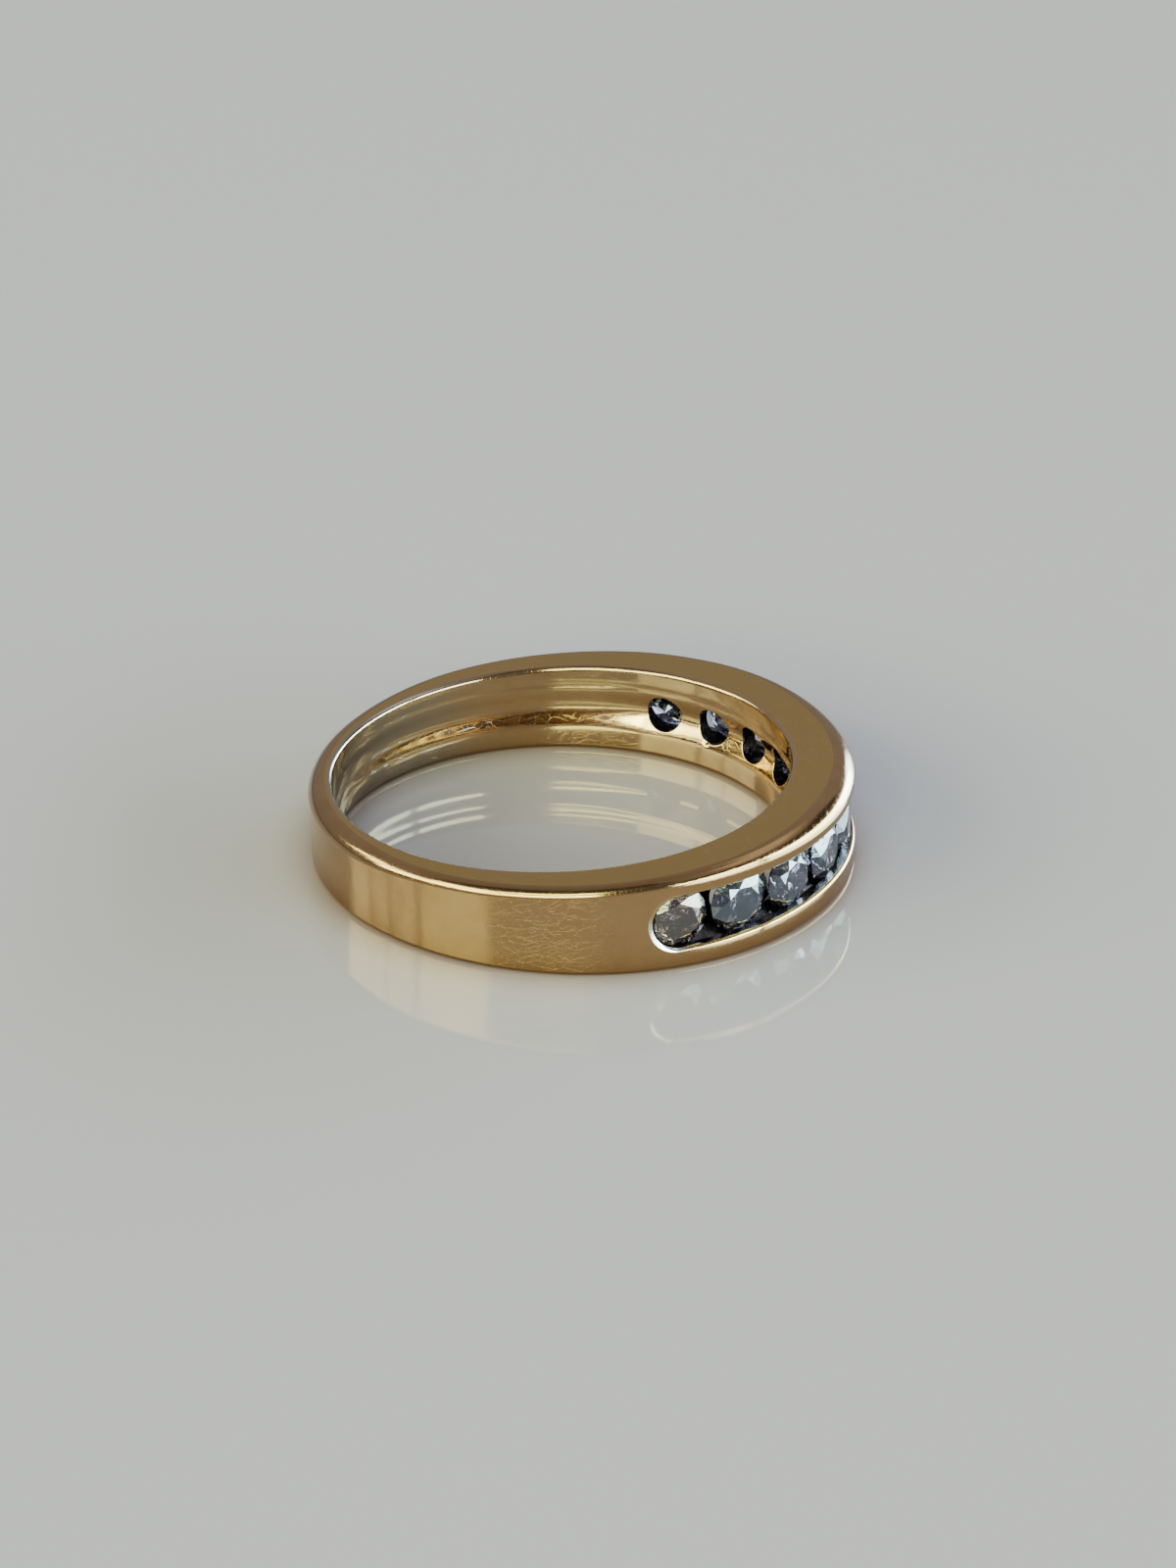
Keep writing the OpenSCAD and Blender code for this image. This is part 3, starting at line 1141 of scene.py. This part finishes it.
@dataclass(frozen=True)
class Metal:
    """Finish of one metal region: colours, roughness and how much of each shared mark it has."""

    name: str
    colour: Triple
    worn: Triple
    smooth: float
    rough: float
    scratch_depth: float
    scratch_rough: float = 0.12
    brush_depth: float = 0.0
    ripple_depth: float = 0.0
    ripple_size: float = 1.6 * MM
    cloud_size: float = 1.5 * MM
    # A second colour that the base colour blends into along an axis, between two places.
    blend_colour: Triple | None = None
    blend_axis: Triple = (1.0, 0.0, 0.0)
    blend_from: float = -3.0 * MM
    blend_to: float = -7.0 * MM

    def build(self, groups: dict[str, bpy.types.NodeTree]) -> bpy.types.Material:
        """Makes the material.

        Args:
            groups: The shared node groups by name.

        Returns:
            The material.
        """
        made, wires, shader = new_material(self.name, {"Metallic": 1.0})
        clouds = wires.node("Group", {"Size": self.cloud_size}, node_tree=groups["clouds"]).outputs["Mask"]
        marks = wires.node("Group", node_tree=groups["scratches"]).outputs["Mask"]
        colour = wires.mix_colour(clouds, (*self.colour, 1.0), (*self.worn, 1.0))
        base = wires.math("MULTIPLY_ADD", clouds, self.rough - self.smooth, self.smooth)
        roughness = wires.math("MULTIPLY_ADD", marks, self.scratch_rough, base)
        place = wires.node("TexCoord").outputs["Object"]
        # Blends the colour into the second colour along the axis.
        if self.blend_colour:
            along = wires.vector_math("DOT_PRODUCT", place, self.blend_axis).outputs["Value"]
            share = wires.remap(along, self.blend_to, self.blend_from, 1.0, 0.0)
            colour = wires.mix_colour(share, colour, (*self.blend_colour, 1.0))
        normal = wires.bump(wires.noise(place, 1 / self.ripple_size, 1.0), self.ripple_depth)
        normal = wires.bump(wires.math("SUBTRACT", 1.0, marks), self.scratch_depth, normal)
        if self.brush_depth:
            lines = wires.node("Group", node_tree=groups["brushing"]).outputs["Height"]
            normal = wires.bump(lines, self.brush_depth, normal)
        wires.feed(shader, {"Base Color": colour, "Roughness": roughness, "Normal": normal})
        return made


@dataclass(frozen=True)
class Diamond:
    """Finish of a stone: its tint, painted nearly black as shade, the haze that its feathers give, the gloss
    that wear has left it, and its sheen, a painted tint of what it mirrors.
    """

    name: str
    colour: Triple
    haze: float = 0.0
    gloss: float = 0.5
    sheen: Triple = (0.68, 0.8, 1.0)
    patch_size: float = 0.5 * MM
    patch_span: Pair = (0.35, 0.7)
    patch_shade: float = 0.8
    feather_size: float = 0.16 * MM
    feather_depth: float = 0.004 * MM
    ior: float = 2.417

    def build(self) -> bpy.types.Material:
        """Makes the material: cloudiness shows as patches of tint, and feathers break up what it mirrors.

        Returns:
            The material.
        """
        constants = {
            "Metallic": 0.0,
            "Transmission Weight": 1.0,
            "IOR": self.ior,
            "Roughness": self.haze,
            "Specular IOR Level": self.gloss,
            "Specular Tint": (*self.sheen, 1.0),
        }
        made, wires, shader = new_material(self.name, constants)
        place = wires.node("TexCoord").outputs["Object"]
        patches = wires.remap(wires.noise(place, 1 / self.patch_size, 3.0), *self.patch_span, 0.0, 1.0)
        darker = tuple(self.patch_shade * value for value in self.colour)
        colour = wires.mix_colour(patches, (*self.colour, 1.0), (*darker, 1.0))
        normal = wires.bump(wires.noise(place, 1 / self.feather_size), self.feather_depth)
        wires.feed(shader, {"Base Color": colour, "Normal": normal})
        return made


@dataclass(frozen=True)
class Glow:
    """A soft patch of light, or of shade where its colour is negative, given by its direction in degrees."""

    azimuth: float
    elevation: float
    half_width: float
    half_height: float
    softness: float
    colour: Triple


@dataclass(frozen=True)
class Window:
    """A lit rectangle on an upright wall, far away.

    The wall's azimuth is the direction that looks at it squarely. On the wall, places across and up are
    tangents: across from that direction and up from the horizon.
    """

    azimuth: float
    left: float
    right: float
    bottom: float
    top: float
    softness: float
    colour: Triple


@dataclass(frozen=True)
class PhotoView:
    """The camera at the photo's angle."""

    eye: Triple = (1.962 * MM, -198.686 * MM, 101.248 * MM)
    aim: Triple = (0.150 * MM, 5.449 * MM, 0.0)
    roll: float = math.radians(0.438)
    lens: float = 135.0
    sensor: float = 36.0

    def build(self) -> None:
        """Makes the camera and sets it as the scene's."""
        eye, aim = Vector(self.eye), Vector(self.aim)
        back = (eye - aim).normalized()
        right = Vector((0, 0, 1)).cross(back).normalized()
        up = back.cross(right)
        cos, sin = math.cos(self.roll), math.sin(self.roll)
        columns = (right * cos + up * sin, up * cos - right * sin, back)
        lens = bpy.data.cameras.new("photo_view")
        lens.lens, lens.sensor_width = self.lens, self.sensor
        lens.clip_start, lens.clip_end = 1 * MM, 20.0
        holder = bpy.data.objects.new("photo_view", lens)
        holder.matrix_world = Matrix.Translation(eye) @ Matrix(columns).transposed().to_4x4()
        bpy.context.scene.collection.objects.link(holder)
        bpy.context.scene.camera = holder


@dataclass(frozen=True)
class Studio:
    """Glossy pale table under soft light that comes from all round, brighter in some directions."""

    table_r: float = 1.2
    table_hub_r: float = 2 * MM
    table_sides: int = 128
    table_rings: int = 9
    table_colour: Triple = (0.395, 0.354, 0.475)
    table_roughness: float = 0.045
    table_spread: float = 0.2
    patch_size: float = 25 * MM
    patch_span: Pair = (0.3, 0.7)
    table_ior: float = 1.41
    # Painted contact shadow on the table's colour, at the ring's foot.
    shadow_colour: Triple = (0.16, 0.105, 0.11)
    shadow_reach: float = 1.7 * MM
    shadow_span: Pair = (0.34, 0.99)
    least_ahead: float = 0.001
    levels: tuple[Pair, ...] = (
        (0.0, 0.2),
        (6.0, 0.36),
        (27.0, 0.45),
        (45.0, 0.45),
        (70.0, 0.38),
        (90.0, 0.32),
    )
    glows: tuple[Glow, ...] = (
        Glow(-65.0, 30.0, 20.0, 16.0, 8.0, (-0.26, -0.26, -0.26)),
        Glow(-112.0, 62.0, 70.0, 14.0, 8.0, (-0.28, -0.28, -0.28)),
        Glow(5.0, 29.0, 48.0, 7.0, 4.0, (-0.36, -0.36, -0.36)),
        Glow(25.0, 52.0, 40.0, 8.0, 5.0, (0.7, 0.7, 0.7)),
        Glow(52.0, 5.0, 14.0, 9.0, 3.0, (11.0, 15.0, 20.0)),
    )
    windows: tuple[Window, ...] = (
        Window(-150.0, -1.43, -0.9, 0.6, 0.93, 0.04, (9.5, 10.5, 6.6)),
        Window(-150.0, -0.9, -0.575, 0.36, 0.72, 0.04, (9.5, 10.5, 6.6)),
        Window(-150.0, -0.54, -0.25, 0.36, 0.63, 0.03, (9.5, 10.5, 6.6)),
        Window(-150.0, -0.2, 0.38, 0.36, 0.78, 0.03, (10.0, 11.5, 6.0)),
        Window(-150.0, -0.62, 0.38, 0.18, 0.36, 0.04, (16.0, 18.0, 8.0)),
        Window(-102.0, -0.49, 0.31, 0.23, 0.4, 0.06, (22.0, 26.0, 11.0)),
        Window(-102.0, -0.49, 0.31, 0.66, 0.95, 0.1, (13.0, 16.0, 6.5)),
        Window(-5.0, -1.0, -0.16, 0.03, 0.36, 0.02, (19.0, 25.0, 22.0)),
        Window(-5.0, -0.08, 2.1, 0.03, 0.36, 0.03, (19.0, 25.0, 22.0)),
    )

    def table(self) -> None:
        """Adds the table: a flat disc of rings, with its own soft finish."""
        turn = np.linspace(0, 2 * math.pi, self.table_sides + 1)[:-1, None]
        radius = np.linspace(self.table_hub_r, self.table_r, self.table_rings)[None, :]
        grid = np.stack([radius * np.cos(turn), radius * np.sin(turn), 0 * turn * radius], axis=-1)
        place = np.arange(turn.size * radius.size).reshape(turn.size, radius.size)
        after = np.roll(place, -1, axis=0)
        faces = np.stack([place[:, :-1], place[:, 1:], after[:, 1:], after[:, :-1]], axis=-1).reshape(-1, 4)
        mesh = bpy.data.meshes.new("table")
        mesh.from_pydata(grid.reshape(-1, 3), [], faces.tolist() + [place[:, 0].tolist()])
        mesh.materials.append(self._table_finish())
        made = bpy.data.objects.new("table", mesh)
        bpy.context.scene.collection.objects.link(made)

    def _table_finish(self) -> bpy.types.Material:
        """Glossy pale surface with faint clouds in its roughness, and a painted contact shadow: its colour
        darkens right at the ring's foot.
        """
        made, wires, shader = new_material("glossy_table", {"IOR": self.table_ior})
        place = wires.node("TexCoord").outputs["Object"]
        # Painted contact shadow: an occlusion mask blends the table's colour into the shadow colour near the
        # ring.
        open_share = wires.node("AmbientOcclusion", {"Distance": self.shadow_reach}, samples=4).outputs["AO"]
        lit = wires.remap(open_share, *self.shadow_span, 0.0, 1.0)
        colour = wires.mix_colour(lit, (*self.shadow_colour, 1.0), (*self.table_colour, 1.0))
        ends = [self.table_roughness * (1 + side * self.table_spread) for side in (-1, 1)]
        roughness = wires.remap(wires.noise(place, 1 / self.patch_size), *self.patch_span, *ends)
        wires.feed(shader, {"Base Color": colour, "Roughness": roughness})
        return made

    def sky(self) -> None:
        """Adds the surroundings: grey levels by elevation, and the soft panels added to them."""
        world = bpy.data.worlds.new("soft_studio")
        bpy.context.scene.world = world
        world.use_nodes = True
        tree = world.node_tree
        wires = Wiring(tree)
        direction = wires.node("TexCoord").outputs["Generated"]
        parts = wires.node("SeparateXYZ", {0: direction}).outputs
        to_degrees = 180 / math.pi
        elevation = wires.math("MULTIPLY", wires.math("ARCSINE", parts[2]), to_degrees)
        azimuth = wires.math("MULTIPLY", wires.math("ARCTAN2", parts[1], parts[0]), to_degrees)
        ramp = wires.node("ValToRGB", {0: wires.math("DIVIDE", elevation, 90.0)})
        stops = ramp.color_ramp.elements
        while len(stops) < len(self.levels):
            stops.new(0.5)
        for stop, (angle, level) in zip(stops, self.levels):
            stop.position = angle / 90.0
            stop.color = (level, level, level, 1.0)
        total = ramp.outputs[0]
        shares = [self._patch(wires, azimuth, elevation, glow) for glow in self.glows]
        shares += [self._pane(wires, direction, window) for window in self.windows]
        for share, light in zip(shares, self.glows + self.windows):
            lit = wires.vector_math("SCALE", light.colour)
            wires.feed(lit, {"Scale": share})
            total = wires.vector_math("ADD", total, lit.outputs[0]).outputs[0]
        wires.feed(tree.nodes["Background"], {"Color": total})

    def _pane(self, wires: Wiring, direction: Socket, window: Window) -> Socket:
        """Share of a window in a direction: 1 inside the rectangle on its wall, with soft borders.

        Args:
            wires: Wiring of the world's tree.
            direction: The direction, as a vector of length 1.
            window: The window.

        Returns:
            The output that gives the share.
        """
        turn = math.radians(window.azimuth)
        cos, sin = math.cos(turn), math.sin(turn)
        ahead, across = (
            wires.vector_math("DOT_PRODUCT", direction, axis).outputs["Value"]
            for axis in ((cos, sin, 0.0), (-sin, cos, 0.0))
        )
        up = wires.node("SeparateXYZ", {0: direction}).outputs[2]
        far = wires.math("MAXIMUM", ahead, self.least_ahead)
        across, up = wires.math("DIVIDE", across, far), wires.math("DIVIDE", up, far)
        share = wires.math("GREATER_THAN", ahead, self.least_ahead)
        soft = window.softness
        for value, low, high in ((across, window.left, window.right), (up, window.bottom, window.top)):
            past_low = wires.remap(value, low - soft, low + soft, 0.0, 1.0)
            before_high = wires.remap(value, high - soft, high + soft, 1.0, 0.0)
            share = wires.math("MULTIPLY", wires.math("MULTIPLY", share, past_low), before_high)
        return share

    @staticmethod
    def _patch(
        wires: Wiring, azimuth: Socket, elevation: Socket, glow: Glow
    ) -> Socket:
        """Share of a patch in a direction: 1 inside its width and height, with soft borders.

        Args:
            wires: Wiring of the world's tree.
            azimuth: The direction's azimuth in degrees.
            elevation: The direction's elevation in degrees.
            glow: The patch.

        Returns:
            The output that gives the share.
        """
        ahead = wires.math("FLOORED_MODULO", wires.math("SUBTRACT", azimuth, glow.azimuth - 180.0), 360.0)
        around = wires.math("ABSOLUTE", wires.math("SUBTRACT", ahead, 180.0))
        above = wires.math("ABSOLUTE", wires.math("SUBTRACT", elevation, glow.elevation))
        soft = glow.softness
        wide = wires.remap(around, glow.half_width - soft, glow.half_width + soft, 1.0, 0.0)
        high = wires.remap(above, glow.half_height - soft, glow.half_height + soft, 1.0, 0.0)
        return wires.math("MULTIPLY", wide, high)

    def build(self) -> None:
        """Adds the table, the surroundings and the camera."""
        self.table()
        self.sky()
        PhotoView().build()


GOLD_FINISHES = {
    # Outer wall's and edges' polished gold, painted darker than the bore's: painted shade.
    Region.POLISHED: Metal(
        name="polished_gold",
        colour=(0.39, 0.242, 0.115),
        worn=(0.355, 0.215, 0.098),
        smooth=0.08,
        rough=0.14,
        scratch_depth=0.0005 * MM,
        ripple_depth=0.005 * MM,
    ),
    Region.SATIN: Metal(
        name="satin_gold",
        colour=(0.425, 0.272, 0.096),
        worn=(0.395, 0.248, 0.083),
        smooth=0.28,
        rough=0.36,
        scratch_depth=0.0008 * MM,
        brush_depth=0.002 * MM,
        ripple_depth=0.002 * MM,
    ),
    # Lip's gold, painted lighter and paler than the outer wall's: painted highlight.
    Region.LIP: Metal(
        name="bright_cut_lip",
        colour=(0.5, 0.36, 0.17),
        worn=(0.44, 0.29, 0.12),
        smooth=0.08,
        rough=0.16,
        scratch_depth=0.0006 * MM,
        ripple_depth=0.012 * MM,
        # Near white towards the channel's ends.
        blend_colour=(0.88, 0.86, 0.82),
        blend_axis=(1.0, 0.0, 1.0),
        blend_from=4.9 * MM,
        blend_to=4.3 * MM,
    ),
    # The channel's plating is painted nearly black, darker still in its blotches: painted shade in the
    # recess between the stones.
    Region.CHANNEL: Metal(
        name="plating_painted_dark",
        colour=(0.13, 0.118, 0.145),
        worn=(0.04, 0.036, 0.045),
        smooth=0.12,
        rough=0.3,
        scratch_depth=0.001 * MM,
        ripple_depth=0.006 * MM,
        cloud_size=0.5 * MM,
    ),
    # Bore's gold, painted lighter and yellower than the outer wall's: painted highlight.
    Region.BORE: Metal(
        name="polished_bore",
        colour=(0.47, 0.318, 0.178),
        worn=(0.43, 0.282, 0.15),
        smooth=0.07,
        rough=0.13,
        scratch_depth=0.0005 * MM,
        ripple_depth=0.003 * MM,
        # Greyer towards the back of the ring.
        blend_colour=(0.37, 0.31, 0.24),
    ),
}
# The stones' tints are painted nearly black: painted shade. Their sheens tint what they mirror: painted
# reflection colour.
STONE_FINISHES = {
    Clarity.CLEAR: Diamond("clear_diamond", (0.1, 0.09, 0.15), 0.0, 0.36),
    Clarity.BROWN: Diamond("brown_diamond", (0.03, 0.019, 0.026), 0.0, 0.14, (0.8, 0.74, 0.74)),
    Clarity.CLOUDY: Diamond("cloudy_diamond", (0.038, 0.032, 0.06), 0.09, 0.24),
}


def main() -> None:
    """Builds the ring, its stones and the studio, and reports each piece."""
    logging.basicConfig(level=logging.INFO, format="%(name)s: %(message)s")
    form = RingForm.from_frame(frame)
    channel = ChannelForm.from_frame(frame, form)
    LOG.info("pitch %.3f degrees, outer radius %.3f mm", math.degrees(channel.pitch), form.outer_r / MM)
    band = GoldBand(form, channel).build()
    groups = {"clouds": clouds_group(), "scratches": scratches_group(), "brushing": brushing_group()}
    for region in Region:
        band.data.materials.append(GOLD_FINISHES[region].build(groups))
    StoneRow(form, channel).build({clarity: finish.build() for clarity, finish in STONE_FINISHES.items()})
    Studio().build()
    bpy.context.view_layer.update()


if __name__ == "__main__":
    main()
